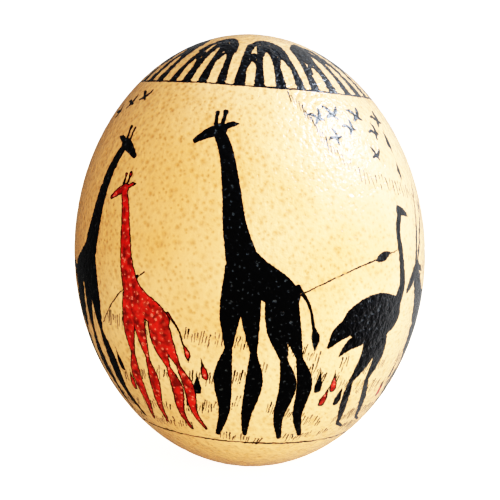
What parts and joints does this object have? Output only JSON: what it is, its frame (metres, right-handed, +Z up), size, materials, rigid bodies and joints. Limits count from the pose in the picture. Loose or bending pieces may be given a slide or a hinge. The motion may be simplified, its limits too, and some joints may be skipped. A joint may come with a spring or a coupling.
{
  "type": "decorated ostrich egg",
  "caption": "Blown ostrich egg with a varnished cream shell, a painted black and red animal frieze, and a small flat spot to stand on.",
  "frame": {"origin": "centre of the flat spot that the egg stands on", "axes": "+Z up along the egg's long axis, -Y towards the side that the picture shows"},
  "size_m": [0.1262, 0.1262, 0.155],
  "materials": {
    "eggshell": "clear gloss varnish over pitted cream shell, with black and red ink"
  },
  "bodies": {
    "root": {"eggshell": "eggshell"}
  },
  "joints": []
}
